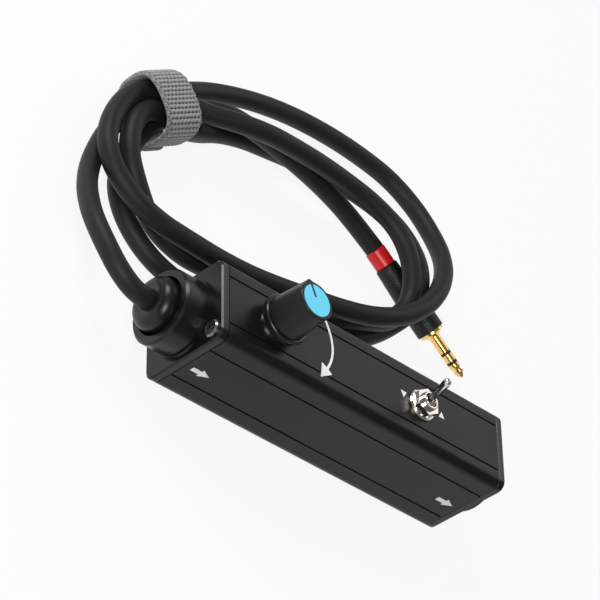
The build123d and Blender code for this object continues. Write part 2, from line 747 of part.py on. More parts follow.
# Circuit board in the housing's side rails, with holes for the pins and the hook-up wires
board_width = inner_width - 2 * fit_gap
with BuildPart() as circuit_board:
    with BuildSketch(Plane.XY.offset(board_height)):
        with Locations((board_middle_x, 0)):
            Rectangle(board_length, board_width)
        with Locations((transformer_x, 0)):
            with GridLocations(pin_spacing, former_width - rail_width, pin_rows, 2):
                Circle(pin_radius + fit_gap, mode=Mode.SUBTRACT)
        with Locations((board_middle_x, 0)):
            with GridLocations(board_length - 2 * wire_hole_inset, wire_hole_spacing, 2, 3):
                Circle(wire_hole_radius, mode=Mode.SUBTRACT)
    extrude(amount=board_thickness)
circuit_board.part.label = "circuit_board"
export_step(circuit_board.part, "parts/circuit_board.step")

# Plug: every piece is turned about one axis that lies on the table
plug_way = (cos(radians(plug_angle)), sin(radians(plug_angle)), 0)


def plug_point(distance):
    """A point on the plug's axis, measured from where the cable enters it."""
    return (plug_tail_x + distance * plug_way[0], plug_tail_y + distance * plug_way[1], plug_axis_z)


plug_axis = Axis(plug_point(0), plug_way)
plug_profile = Plane(origin=plug_point(0), x_dir=plug_way, z_dir=(plug_way[1], -plug_way[0], 0))
barrel_start = sleeve_ring_length
barrel_end = barrel_start + plug_barrel_length
collar_end = barrel_end + collar_length
sleeve_end = collar_end + plug_sleeve_length
first_insulator_end = sleeve_end + plug_insulator_length
ring_contact_end = first_insulator_end + plug_ring_length
second_insulator_end = ring_contact_end + plug_insulator_length
plug_end = second_insulator_end + plug_tip_length

with BuildPart() as plug_sleeve_ring:
    with BuildSketch(plug_profile):
        with Locations((sleeve_ring_length / 2, sleeve_ring_radius / 2)):
            Rectangle(sleeve_ring_length, sleeve_ring_radius)
    revolve(axis=plug_axis)
    chamfer(plug_sleeve_ring.edges().filter_by(GeomType.CIRCLE), sleeve_ring_chamfer)
plug_sleeve_ring.part.label = "plug_sleeve_ring"
export_step(plug_sleeve_ring.part, "parts/plug_sleeve_ring.step")

with BuildPart() as plug_barrel:
    with BuildSketch(plug_profile):
        with BuildLine():
            Polyline((barrel_start, 0), (barrel_start, plug_barrel_tail_radius),
                     (barrel_end - plug_barrel_straight, plug_barrel_radius),
                     (barrel_end, plug_barrel_radius), (barrel_end, 0), (barrel_start, 0))
        make_face()
    revolve(axis=plug_axis)
    chamfer(plug_barrel.edges().filter_by(GeomType.CIRCLE).group_by(SortBy.LENGTH)[0], plug_barrel_chamfer)
plug_barrel.part.label = "plug_barrel"
export_step(plug_barrel.part, "parts/plug_barrel.step")

# The gold collar and the sleeve contact are one turned piece
with BuildPart() as plug_body:
    with BuildSketch(plug_profile):
        with BuildLine():
            Polyline((barrel_end, 0), (barrel_end, collar_radius), (barrel_end + collar_rim, collar_radius),
                     (collar_end, collar_neck_radius), (collar_end, plug_pin_radius),
                     (sleeve_end, plug_pin_radius), (sleeve_end, 0), (barrel_end, 0))
        make_face()
    revolve(axis=plug_axis)
plug_body.part.label = "plug_body"
export_step(plug_body.part, "parts/plug_body.step")

with BuildPart() as plug_insulators:
    with BuildSketch(plug_profile):
        with Locations(((sleeve_end + first_insulator_end) / 2, plug_pin_radius / 2),
                       ((ring_contact_end + second_insulator_end) / 2, plug_pin_radius / 2)):
            Rectangle(plug_insulator_length, plug_pin_radius)
    revolve(axis=plug_axis)
plug_insulators.part.label = "plug_insulators"
export_step(plug_insulators.part, "parts/plug_insulators.step")

with BuildPart() as plug_ring_contact:
    with BuildSketch(plug_profile):
        with Locations(((first_insulator_end + ring_contact_end) / 2, plug_pin_radius / 2)):
            Rectangle(plug_ring_length, plug_pin_radius)
    revolve(axis=plug_axis)
plug_ring_contact.part.label = "plug_ring_contact"
export_step(plug_ring_contact.part, "parts/plug_ring_contact.step")

with BuildPart() as plug_tip:
    with BuildSketch(plug_profile):
        with BuildLine():
            Polyline((second_insulator_end, 0), (second_insulator_end, plug_pin_radius),
                     (second_insulator_end + plug_tip_land, plug_pin_radius),
                     (second_insulator_end + plug_tip_neck_reach, plug_tip_neck),
                     (second_insulator_end + plug_tip_shoulder_reach, plug_tip_shoulder),
                     (plug_end, plug_tip_point), (plug_end, 0), (second_insulator_end, 0))
        make_face()
    revolve(axis=plug_axis)
plug_tip.part.label = "plug_tip"
export_step(plug_tip.part, "parts/plug_tip.step")


# Cable: plain tubes where it is not coiled, and one solid for the coil
def cord_radii(points):
    """The bend radius at each inner point: a share of the shorter run over the tangent of half the turn."""
    radii = []
    for before, here, after in zip(points, points[1:], points[2:]):
        run_in, run_out = Vector(*here) - Vector(*before), Vector(*after) - Vector(*here)
        turn = run_in.get_angle(run_out)
        radii.append(cord_share * min(run_in.length, run_out.length) / tan(radians(turn / 2)))
    return radii


lead_start = clamp_start - cord_overlap
lead_points = [
    (lead_start, 0, middle_z),
    (-80.5, 0, middle_z),
    (-94.0, 13.0, 14.2),
    (-95.0, 33.0, 8.8),
    (-84.8, 50.5, 5.1),
]
last_run = 13.5
tail_points = [
    (-17.0, 87.5, 9.8),
    (-4.0, 87.6, 8.6),
    (9.6, 88.4, 6.4),
    plug_point(-last_run),
    plug_point(0),
]

for name, points in (("cord_lead", lead_points), ("cord_tail", tail_points)):
    bends = cord_radii(points)
    with BuildPart() as tube:
        with BuildLine() as route:
            FilletPolyline(*points, radius=bends)
        with BuildSketch(route.line ^ 0):
            Circle(cord_radius)
        sweep()
    run_length = route.wires()[0].length
    expected = pi * cord_radius ** 2 * run_length
    print(name, "bend radii", [round(bend, 1) for bend in bends], "length", round(run_length, 1),
          "volume over section times length", round(tube.part.volume / expected, 4))
    tube.part.label = name
    export_step(tube.part, "parts/" + name + ".step")

# The cable's clamped end: the jacket through the clamp, and three conductors beyond it
with BuildPart() as cord_stub:
    with BuildSketch(cross_plane(lead_start)):
        Circle(cord_radius)
    extrude(amount=cord_stub_length)
    with BuildSketch(cross_plane(lead_start + cord_stub_length)):
        with PolarLocations(conductor_circle_radius, 3):
            Circle(conductor_radius)
    extrude(amount=conductor_length)
cord_stub.part.label = "cord_stub"
export_step(cord_stub.part, "parts/cord_stub.step")

# Coil: a flat ring that is low where one turn lies alone and high where the turns cross
coil_outer = [(-48, 101), (-14, 115.5), (25, 118), (55, 109), (69.5, 90), (66, 70), (47, 47), (22, 33),
              (-18, 24.5), (-56, 21.5), (-77, 34), (-87.5, 56), (-77.5, 76), (-64, 91)]
coil_inner = [(-36, 83), (-20, 88.5), (-2, 91.4), (14, 92), (26, 86.5), (35, 76), (35.5, 62), (27, 48.5),
              (8, 42), (-14, 39), (-42, 39.5), (-60, 46), (-67, 57), (-58.5, 67), (-46, 75)]
coil_ridge = [(-32, 98), (0, 102), (26, 98.5), (45, 86), (52, 68), (45, 48), (24, 36), (-4, 32.5),
              (-20, 40), (0, 60), (-16, 82)]
tie_middle = tie_strap_thickness + tie_opening_height / 2
tie_way = (cos(radians(tie_angle)), sin(radians(tie_angle)), 0)
tie_plane = Plane(origin=(tie_x - tie_way[0] * tie_strap_width / 2, tie_y - tie_way[1] * tie_strap_width / 2,
                          tie_middle), x_dir=(tie_way[1], -tie_way[0], 0), z_dir=tie_way)
tunnel_radius = plug_barrel_radius + coil_tunnel_gap
tunnel_plane = Plane(origin=plug_point(-last_run), x_dir=(plug_way[1], -plug_way[0], 0), z_dir=plug_way)
with BuildPart() as cord_coil:
    with BuildSketch(Plane.XY):
        with BuildLine():
            Spline(*coil_outer, periodic=True)
        make_face()
    extrude(amount=coil_tie_height)
    with BuildSketch(Plane.XY.offset(coil_end_height)):
        with Locations((coil_low_x, coil_low_y)):
            Rectangle(2 * housing_length, housing_length, align=(Align.MIN, Align.MIN))
    extrude(amount=coil_ridge_height, mode=Mode.SUBTRACT)
    with BuildSketch(Plane.XY):
        with BuildLine():
            Spline(*coil_ridge, periodic=True)
        make_face()
    extrude(amount=coil_ridge_height)
    with BuildSketch(Plane.XY):
        with BuildLine():
            Spline(*coil_inner, periodic=True)
        make_face()
    extrude(amount=coil_ridge_height, mode=Mode.SUBTRACT)
    with BuildSketch(tunnel_plane):
        Circle(tunnel_radius)
        Rectangle(2 * tunnel_radius, 2 * tunnel_radius, align=(Align.CENTER, Align.MAX))
    extrude(amount=last_run + plug_end + cord_radius, mode=Mode.SUBTRACT)
    with BuildSketch(tie_plane):
        Rectangle(2 * tie_opening_width, 3 * tie_opening_height)
        Ellipse(tie_opening_width / 2 - fit_gap, tie_opening_height / 2 - fit_gap, mode=Mode.SUBTRACT)
    extrude(amount=tie_strap_width, mode=Mode.SUBTRACT)
cord_coil.part.label = "cord_coil"
export_step(cord_coil.part, "parts/cord_coil.step")

with BuildPart() as tie:
    with BuildSketch(tie_plane):
        Ellipse(tie_opening_width / 2 + tie_strap_thickness, tie_opening_height / 2 + tie_strap_thickness)
        with Locations((0, -tie_middle)):
            Rectangle(tie_tab_length, tie_strap_thickness, align=(Align.MIN, Align.MIN))
        Ellipse(tie_opening_width / 2, tie_opening_height / 2, mode=Mode.SUBTRACT)
    extrude(amount=tie_strap_width)
tie.part.label = "tie"
export_step(tie.part, "parts/tie.step")
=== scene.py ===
"""Finishes the ground loop isolator: real materials, the printed arrows, the coiled cable and its tie.

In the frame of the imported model: +X runs from the cable end to the output socket, -Y is the side with the
flow arrows, and +Z is up through the face with the knob and the toggle. Blender works in metres. Lengths
below are in metres where they carry MM or stand in a material, a light or the camera, and otherwise in
millimetres.
"""
import bpy
import bmesh
import json
from math import copysign, cos, pi, radians, sin
from mathutils import Matrix, Vector


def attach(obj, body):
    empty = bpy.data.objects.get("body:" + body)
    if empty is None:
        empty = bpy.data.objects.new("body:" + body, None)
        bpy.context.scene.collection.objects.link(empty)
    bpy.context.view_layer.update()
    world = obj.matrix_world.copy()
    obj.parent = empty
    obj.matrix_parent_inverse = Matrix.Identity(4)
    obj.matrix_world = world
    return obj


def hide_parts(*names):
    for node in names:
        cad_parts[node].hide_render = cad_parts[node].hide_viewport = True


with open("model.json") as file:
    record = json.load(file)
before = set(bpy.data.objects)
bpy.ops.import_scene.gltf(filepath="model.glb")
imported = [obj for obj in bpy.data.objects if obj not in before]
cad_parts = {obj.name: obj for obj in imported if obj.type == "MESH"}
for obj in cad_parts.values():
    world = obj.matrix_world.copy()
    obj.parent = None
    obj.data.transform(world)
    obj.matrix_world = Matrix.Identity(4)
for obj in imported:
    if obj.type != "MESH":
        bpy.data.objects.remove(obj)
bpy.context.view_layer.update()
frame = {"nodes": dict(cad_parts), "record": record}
nodes = frame["nodes"]
MM = 0.001


# Materials

COAT_ROUGHNESS = 0.1
NOISE_ROUGHNESS = 0.55
NOISE_LOW, NOISE_HIGH = 0.3, 0.7  # most values of a noise lie between these


class Look:
    """A node-based material: a Principled shader with helpers for colour, roughness and bump."""

    def __init__(self, name, color, roughness, metallic=0.0, coat=0.0, sheen=0.0, specular=0.5):
        self.material = bpy.data.materials.new(name)
        self.material.use_nodes = True
        self.tree = self.material.node_tree
        self.shader = self.tree.nodes["Principled BSDF"]
        self.set("Base Color", (*color, 1))
        self.set("Roughness", roughness)
        self.set("Metallic", metallic)
        self.set("Coat Weight", coat)
        self.set("Coat Roughness", COAT_ROUGHNESS)
        self.set("Sheen Weight", sheen)
        self.set("Specular IOR Level", specular)
        self.where = self.tree.nodes.new("ShaderNodeTexCoord").outputs["Object"]
        self.height = None

    def set(self, socket, value):
        self.shader.inputs[socket].default_value = value

    def link(self, start, end):
        self.tree.links.new(start, end)

    def texture(self, kind, per_metre):
        """A procedural texture in object coordinates, with about per_metre features to the metre."""
        node = self.tree.nodes.new(kind)
        node.inputs["Scale"].default_value = per_metre
        self.link(self.where, node.inputs["Vector"])
        return node

    def noise(self, per_metre, detail):
        node = self.texture("ShaderNodeTexNoise", per_metre)
        node.inputs["Detail"].default_value = detail
        node.inputs["Roughness"].default_value = NOISE_ROUGHNESS
        return node.outputs["Fac"]

    def spread(self, value, low, high, to_low, to_high):
        """Maps low..high of a value onto to_low..to_high, and holds it there."""
        node = self.tree.nodes.new("ShaderNodeMapRange")
        for socket, number in zip(("From Min", "From Max", "To Min", "To Max"), (low, high, to_low, to_high)):
            node.inputs[socket].default_value = number
        self.link(value, node.inputs["Value"])
        return node.outputs["Result"]

    def ramp(self, value, stops):
        """A colour that runs through (position, colour) stops."""
        node = self.tree.nodes.new("ShaderNodeValToRGB")
        ramp = node.color_ramp
        for index, (position, color) in enumerate(stops):
            stop = ramp.elements[index] if index < 2 else ramp.elements.new(position)
            stop.position = position
            stop.color = (*color, 1)
        self.link(value, node.inputs["Fac"])
        return node.outputs["Color"]

    def add(self, first, second):
        node = self.tree.nodes.new("ShaderNodeMath")
        node.operation = "ADD"
        self.link(first, node.inputs[0])
        self.link(second, node.inputs[1])
        return node.outputs["Value"]

    def bump(self, value, depth):
        """Adds relief of the given depth in metres. Several calls stack."""
        node = self.tree.nodes.new("ShaderNodeBump")
        node.inputs["Strength"].default_value = 1.0
        node.inputs["Distance"].default_value = depth
        self.link(value, node.inputs["Height"])
        if self.height is not None:
            self.link(self.height, node.inputs["Normal"])
        self.height = node.outputs["Normal"]
        self.link(self.height, self.shader.inputs["Normal"])

    def vary(self, color, amount, per_metre, low, high):
        """Small, slow changes of colour and of roughness (low to high), as handling and dust leave them."""
        value = self.noise(per_metre, detail=4.0)
        darker = tuple(c * (1 - amount) for c in color)
        lighter = tuple(min(1.0, c * (1 + amount)) for c in color)
        colors = self.ramp(value, [(NOISE_LOW, darker), (NOISE_HIGH, lighter)])
        self.link(colors, self.shader.inputs["Base Color"])
        self.link(self.spread(value, NOISE_LOW, NOISE_HIGH, low, high), self.shader.inputs["Roughness"])


def uneven(name, color, roughness, amount, per_metre, low, high, **more):
    """A look whose colour varies by the given share, and whose roughness runs from low to high."""
    look = Look(name, color, roughness, **more)
    look.vary(color, amount, per_metre, low, high)
    return look


def paint(name, color, roughness, vary=0.12, grain=4000, depth=4e-6, **more):
    """A finish with slow colour changes and a fine grain."""
    look = uneven(name, color, roughness, amount=vary, per_metre=60, low=roughness * 0.88,
                  high=roughness * 1.12, **more)
    look.bump(look.noise(grain, detail=2.0), depth)
    return look


def plated(name, color, roughness):
    """Bright plating, a little uneven."""
    look = uneven(name, color, roughness, amount=0.06, per_metre=180, low=roughness * 0.75,
                  high=roughness * 1.35, metallic=1.0)
    look.bump(look.noise(per_metre=1400, detail=2.0), depth=1.5e-6)
    return look


anodised = paint("black_anodised", (0.0075, 0.0075, 0.0085), 0.36, grain=5200, depth=5e-6, specular=0.22)
cast_black = paint("satin_black_metal", (0.005, 0.005, 0.006), 0.31, grain=3600, depth=6e-6, specular=0.34)
plastic_black = paint("moulded_black", (0.005, 0.005, 0.006), 0.42, grain=6500, depth=5e-6, specular=0.32)
rubber_black = paint("boot_rubber", (0.006, 0.006, 0.007), 0.34, grain=2600, depth=5e-6, specular=0.36)
cap_blue = paint("sky_blue_cap", (0.14, 0.72, 1.0), 0.42, vary=0.03, grain=3000, depth=1e-6, specular=0.3)
red_gloss = paint("red_sleeve", (0.72, 0.006, 0.014), 0.30, vary=0.06, grain=1500, depth=3e-6)
silver = paint("silver_plate", (0.80, 0.79, 0.76), 0.24, vary=0.05, grain=2500, depth=1e-6, metallic=1.0)
screw_black = paint("black_nickel", (0.20, 0.20, 0.21), 0.28, vary=0.1, grain=2500, depth=2e-6, metallic=1.0)
ivory = paint("ivory_nylon", (0.62, 0.58, 0.47), 0.45, grain=2500)
tape = paint("yellow_tape", (0.72, 0.46, 0.05), 0.30, grain=1200, depth=6e-6)
insulator_black = paint("plug_insulator", (0.01, 0.01, 0.01), 0.38)
print_white = paint("print_white", (0.93, 0.93, 0.93), 0.55, vary=0.04, grain=5000, depth=2e-6)
print_grey = paint("print_grey", (0.80, 0.80, 0.80), 0.55, vary=0.04, grain=5000, depth=2e-6)
nickel = plated("bright_nickel", (0.72, 0.69, 0.64), 0.17)
gold = plated("gold_plate", (0.93, 0.60, 0.20), 0.19)
board_green = uneven("solder_mask", (0.012, 0.11, 0.045), 0.32, amount=0.2, per_metre=350, low=0.26,
                     high=0.4, coat=0.4)

# Transformer core: its stacked sheets show as fine bands
core_steel = uneven("laminations", (0.26, 0.26, 0.27), 0.42, amount=0.15, per_metre=250, low=0.34,
                    high=0.5, metallic=1.0)
sheets = core_steel.texture("ShaderNodeTexWave", per_metre=500)
sheets.bands_direction = "Y"
core_steel.bump(sheets.outputs["Fac"], depth=3e-5)

# Cable jacket: a fine grain over slow waves
jacket = uneven("cable_jacket", (0.008, 0.008, 0.009), 0.56, amount=0.18, per_metre=90, low=0.52,
                high=0.60, sheen=0.02, specular=0.34)
jacket.bump(jacket.noise(per_metre=5200, detail=3.0), depth=5e-6)
jacket.bump(jacket.noise(per_metre=260, detail=2.0), depth=1e-5)

# Barrel of the plug: fine raised dots, as the moulded grip has
grip = uneven("plug_grip", (0.006, 0.006, 0.007), 0.46, amount=0.15, per_metre=200, low=0.40, high=0.52,
              specular=0.34)
dots = grip.texture("ShaderNodeTexVoronoi", per_metre=1500)
grip.bump(grip.spread(dots.outputs["Distance"], low=0.1, high=0.5, to_low=1.0, to_high=0.0), depth=6e-5)

SLOT_LOOKS = {
    "housing": anodised, "black_metal": cast_black, "black_plastic": plastic_black, "blue_cap": cap_blue,
    "rubber": rubber_black, "cable": jacket, "red_sleeve": red_gloss, "gold": gold, "nickel": nickel,
    "screw_steel": screw_black, "contact_silver": silver, "board": board_green, "core_steel": core_steel,
    "former_plastic": ivory, "winding_tape": tape,
}
NODE_LOOKS = {"plug_barrel": grip, "plug_insulators": insulator_black}
for subpart in frame["record"]["subparts"]:
    node = nodes[subpart["node"]]
    look = NODE_LOOKS.get(subpart["node"]) or SLOT_LOOKS.get(subpart["material_slot"])
    if look:
        node.data.materials.clear()
        node.data.materials.append(look.material)


# Helpers for the scene's own pieces


def show(name, mesh, look, body):
    """Puts a finished mesh into the scene as a piece that rides on a body."""
    piece = bpy.data.objects.new(name, mesh)
    bpy.context.scene.collection.objects.link(piece)
    mesh.materials.append(look.material)
    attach(piece, body)
    return piece


def join_rings(build, ring, after):
    """Faces between two closed rings of the same count."""
    for index in range(len(ring)):
        follow = (index + 1) % len(ring)
        build.faces.new((ring[index], ring[follow], after[follow], after[index]))


def finished(build, name):
    """The mesh of what was built, with its faces turned outwards."""
    bmesh.ops.recalc_face_normals(build, faces=build.faces)
    mesh = bpy.data.meshes.new(name)
    build.to_mesh(mesh)
    build.free()
    return mesh


def plate_mesh(name, low, high):
    """A plate between two outlines, given as points in millimetres."""
    build = bmesh.new()
    bottom = [build.verts.new(Vector(point) * MM) for point in low]
    top = [build.verts.new(Vector(point) * MM) for point in high]
    build.faces.new(bottom)
    build.faces.new(list(reversed(top)))
    join_rings(build, bottom, top)
    return finished(build, name)


# Cable: one line from the boot to the plug, each point placed along the cable seen in the photo

CABLE_DIAMETER = 6.3 * MM
CABLE_STEPS = 10  # along the cable, between two of its points
CABLE_ROUNDNESS = 7  # bevel steps of its section
CABLE_POINTS = [
    (-72, 0, 16), (-76.5, 0, 16.2), (-83.2, 3.6, 16.8), (-87.6, 10.6, 16), (-89.8, 19.2, 13.5),
    (-89.7, 26.4, 10.7), (-87.9, 37.6, 6.5), (-84.7, 48.9, 3.9), (-80.5, 60.2, 3.5), (-75, 71, 4.3),
    (-67.9, 80.7, 4.9), (-59.1, 88.9, 5), (-49.3, 96, 4.3), (-39, 102.2, 3.9), (-28, 107.2, 3.5),
    (-16.6, 111, 3.4), (-4.9, 113.7, 3.3), (7.1, 115.1, 3.4), (19.1, 115.4, 3.5), (31.2, 114.8, 3.4),
    (43.2, 112.9, 3.4), (52.6, 105.2, 5.2), (56.9, 94.1, 8.5), (56.7, 82.7, 12.7), (53.4, 71.6, 16),
    (47.9, 61, 17.9), (40.4, 51.5, 18.2), (30.9, 44, 17.5), (19.8, 39.3, 16.1), (8.1, 37.4, 14.2),
    (-3.9, 36.5, 12.5), (-15.8, 35.3, 11.2), (-27.7, 34.3, 10.4), (-39.8, 34, 10.2), (-51.8, 34.4, 10.4),
    (-63.8, 35, 10.5), (-75.5, 39, 10.8), (-84.1, 48, 11.1), (-84.1, 59.8, 10.6), (-79.1, 71.7, 10.6),
    (-71.5, 80.9, 11.2), (-60, 84.5, 10.5), (-47.6, 84.1, 11.9), (-36.3, 84.4, 15.7), (-24.5, 85.5, 17.2),
    (-12.5, 86.8, 16.5), (-0.4, 88, 15.4), (11.5, 87.9, 14.6), (23.4, 85.6, 14.9), (34, 79.7, 15.7),
    (39.8, 68.7, 15.3), (41.3, 56.7, 12), (33.7, 47.5, 9.4), (22.4, 43, 9), (11.1, 39.7, 5.5),
    (-0.7, 38.6, 3.9), (-12.8, 38.4, 3.4), (-24.8, 37.4, 3.4), (-36.6, 35.2, 3.5), (-48.7, 34.7, 3.4),
    (-60, 39.5, 3.3), (-69.5, 45.5, 7.9), (-76, 55.3, 10.4), (-74.5, 68, 11.2), (-65.8, 76.3, 11.4),
    (-53.4, 76.4, 8.6), (-43.2, 83, 4.4), (-34, 89.2, 3.2), (-22.6, 93, 3.4), (-10.9, 94.7, 3.6),
    (1.3, 97, 3.3), (13.4, 98.5, 3.3), (24.9, 97.1, 4.8), (35.1, 91.1, 8.6), (40.7, 81, 12.8),
    (46.1, 70, 13.4), (46.9, 59.2, 8.4), (39, 50.7, 3.5), (29.4, 42.9, 3.3), (18.9, 37.1, 3.3),
    (7.7, 32.8, 3.5), (-3.9, 29.6, 3.6), (-15.7, 26.9, 3.5), (-27.5, 24.9, 3.4), (-39.6, 24, 3.3),
    (-51.7, 24.4, 3.3), (-63, 28.7, 3.4), (-71.6, 37.7, 3.5), (-74.2, 49.5, 3.3), (-69.9, 61.1, 3.7),
    (-65.4, 72.2, 4.6), (-56.9, 81.1, 4.4), (-47.4, 89, 6.2), (-36.4, 91.8, 10.1), (-24.3, 91.2, 10.3),
    (-12.2, 90, 9.8), (-0.4, 88.4, 9), (11.5, 86.8, 7.4), (23.1, 84.1, 5.5), (33.8, 78.7, 4.5)
]


def round_line(name, points, radius):
    """A round NURBS curve that is drawn along by its points, given in millimetres."""
    curve = bpy.data.curves.new(name, "CURVE")
    curve.dimensions = "3D"
    spline = curve.splines.new("NURBS")
    spline.points.add(len(points) - 1)
    for point, place in zip(spline.points, points):
        point.co = (*(c * MM for c in place), 1)
    spline.order_u = 3
    spline.use_endpoint_u = True
    curve.resolution_u = CABLE_STEPS
    curve.bevel_depth = radius
    curve.bevel_resolution = CABLE_ROUNDNESS
    curve.use_fill_caps = True
    line = bpy.data.objects.new(name, curve)
    bpy.context.scene.collection.objects.link(line)
    return line


cable = round_line("cable", CABLE_POINTS, CABLE_DIAMETER / 2)
cable.data.materials.append(jacket.material)
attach(cable, "case")
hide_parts("cord_lead", "cord_coil", "cord_tail")


# Hook-and-loop tie: a woven strap drawn tight round the four strands, its end tucked under the loop

strap_look = Look("woven_strap", (0.30, 0.31, 0.31), 0.9, sheen=0.3, specular=0.15)
weave_and_pit_shade = strap_look.tree.nodes.new("ShaderNodeAttribute")
weave_and_pit_shade.attribute_name = "weave_and_pit_shade"
fuzz = strap_look.noise(per_metre=2600, detail=3.0)
fuzz_share = strap_look.spread(fuzz, NOISE_LOW, NOISE_HIGH, to_low=-0.2, to_high=0.2)
fuzzy_weave = strap_look.add(weave_and_pit_shade.outputs["Fac"], fuzz_share)
# Painted shade: the weave value runs from dark in the strap's pits and valleys to light on its crests
WEAVE_SHADE_COLORS = [(0.05, (0.03, 0.03, 0.03)), (0.4, (0.16, 0.163, 0.163)), (0.85, (0.36, 0.37, 0.37))]
strap_look.link(strap_look.ramp(fuzzy_weave, WEAVE_SHADE_COLORS), strap_look.shader.inputs["Base Color"])
strap_look.bump(fuzz, depth=4e-5)

TIE_MIDDLE = Vector((-63.0, 78.9, 0)) * MM
TIE_ALONG = Vector((0.848, 0.53, 0))
TIE_OUTWARD = Vector((-0.53, 0.848, 0))
UP = Vector((0, 0, 1))
STRAP_WIDTH = 15.4 * MM
STRAP_THICKNESS = 1.5 * MM

# The strap's inner line, a rounded oval
LOOP_HALF_WIDTH = 9.8
LOOP_HALF_HEIGHT = 7.7
LOOP_MIDDLE = (-0.2, LOOP_HALF_HEIGHT + 1.55)
LOOP_SQUARENESS = 2.8
LOOP_STEPS = 720

# Its weave: ribs across the strap, and pits where the threads cross
RIB_HEIGHT = 0.40 * MM
RIB_PITCH = 1.35 * MM
RIB_FULLNESS = 0.8  # below 1 the ribs are rounder and the valleys narrower
THREAD_PITCH = 1.7 * MM
STEPS_PER_RIB = 6
STEPS_PER_THREAD = 6
PIT_ON_RIB = 0.55
PIT_IN_VALLEY = 1.4
HEM_LEVEL = 0.4
PIT_ON_HEM = 0.8
RELIEF_SHADE_MIDDLE, RELIEF_SHADE_SPREAD = 0.38, 0.55  # the value of the weave attribute on the outer face, from its relief: painted shade, darker in its pits and valleys
INNER_WEAVE = 0.9

# Its edges round off over half a thread
EDGE_THREADS = 0.5
OUTER_EDGE_DROP = 0.5 * MM
INNER_EDGE_RISE = 0.25 * MM
INNER_RIPPLE = 0.06 * MM

# The strap's free end
TAB_REACH = 8.0 * MM
TAB_ROOT = -2.0 * MM
TAB_INSET = 0.6 * MM
TAB_STEPS = 12
TAB_CORNER = 0.45  # the share of its reach that the corners lack
TAB_SECTION = ((0, 0.05), (0.94, 0.05), (1, 0.45), (1, 0.85), (0.94, 1.25), (0, 1.25))
TAB_WEAVE = 0.55


def loop_point(angle):
    """A point of the strap's inner line, given as (outward, up)."""
    c, s = cos(angle), sin(angle)
    return Vector((LOOP_MIDDLE[0] + LOOP_HALF_WIDTH * copysign(abs(c) ** (2 / LOOP_SQUARENESS), c),
                   LOOP_MIDDLE[1] + LOOP_HALF_HEIGHT * copysign(abs(s) ** (2 / LOOP_SQUARENESS), s)))


def loop_line():
    """Points in metres and outward directions at even steps round the loop, a whole number of ribs long."""
    fine = [loop_point(2 * pi * step / LOOP_STEPS) for step in range(LOOP_STEPS)]
    lengths = [(fine[index] - fine[index - 1]).length for index in range(LOOP_STEPS)]
    total = sum(lengths)
    stations = round(total * MM / RIB_PITCH) * STEPS_PER_RIB
    even = []
    walked = 0.0
    for index in range(LOOP_STEPS):
        while walked + lengths[index] > len(even) * total / stations and len(even) < stations:
            share = (len(even) * total / stations - walked) / lengths[index]
            even.append(fine[index - 1].lerp(fine[index], share))
        walked += lengths[index]
    line = []
    for index, place in enumerate(even):
        way = (even[(index + 1) % len(even)] - even[index - 1]).normalized()
        line.append((place * MM, Vector((way.y, -way.x))))
    return line


def relief_at(rib, pit, hem):
    """Relief of the outer face, from the rib's height, the pit's depth and the way in from the edge."""
    woven = rib * (1 - PIT_ON_RIB * pit ** 2) - PIT_IN_VALLEY * (1 - rib) * pit
    hemmed = HEM_LEVEL - PIT_ON_HEM * pit * rib
    return woven * hem + hemmed * (1 - hem)


def strap_mesh():
    """The loop: one closed ring of corners at each station, out over the outer face and back inside."""
    build = bmesh.new()
    layer = build.verts.layers.float.new("weave_and_pit_shade")
    columns = round(STRAP_WIDTH / THREAD_PITCH) * STEPS_PER_THREAD
    rings = []
    for index, (place, out) in enumerate(loop_line()):
        rib = abs(sin(pi * index / STEPS_PER_RIB)) ** RIB_FULLNESS
        odd = (index + STEPS_PER_RIB // 2) // STEPS_PER_RIB % 2
        ring = []
        for outer in (True, False):
            for step in range(columns + 1):
                column = step if outer else columns - step
                across = (column / columns - 0.5) * STRAP_WIDTH
                pit = 0.5 + 0.5 * cos(2 * pi * column / STEPS_PER_THREAD + pi * odd)
                edge = min(column, columns - column) / STEPS_PER_THREAD
                relief = relief_at(rib, pit, min(1.0, edge))
                rounding = max(0.0, EDGE_THREADS - edge)
                if outer:
                    outward = STRAP_THICKNESS - OUTER_EDGE_DROP * rounding + RIB_HEIGHT * (relief - 1)
                    # Painted shade: the lower the relief, the darker the colour
                    value = min(1.0, max(0.0, RELIEF_SHADE_MIDDLE + RELIEF_SHADE_SPREAD * relief))
                else:
                    outward = INNER_EDGE_RISE * rounding + INNER_RIPPLE * (1 - rib)
                    value = INNER_WEAVE
                corner = build.verts.new(TIE_MIDDLE + TIE_ALONG * across
                                         + TIE_OUTWARD * (place.x + out.x * outward)
                                         + UP * (place.y + out.y * outward))
                corner[layer] = value
                ring.append(corner)
        rings.append(ring)
    for ring, after in zip(rings, rings[1:] + rings[:1]):
        join_rings(build, ring, after)
    add_tab(build, layer)
    for face in build.faces:
        face.smooth = True
    return finished(build, "tie_strap")


def add_tab(build, layer):
    """The strap's free end: a flat tongue with a round tip, under the loop."""
    half = STRAP_WIDTH / 2 - TAB_INSET
    rows = []
    for step in range(TAB_STEPS + 1):
        along = (step / TAB_STEPS - 0.5) * 2
        tip = TAB_REACH * (1 - TAB_CORNER * abs(along) ** 6)
        row = []
        for reach, height in TAB_SECTION:
            corner = build.verts.new(TIE_MIDDLE + TIE_ALONG * along * half
                                     + TIE_OUTWARD * (TAB_ROOT - tip * reach) + UP * height * MM)
            corner[layer] = TAB_WEAVE
            row.append(corner)
        rows.append(row)
    for row, after in zip(rows, rows[1:]):
        join_rings(build, row, after)
    build.faces.new(rows[0])
    build.faces.new(list(reversed(rows[-1])))


tie_piece = show("tie_strap", strap_mesh(), strap_look, "case")
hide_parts("tie")


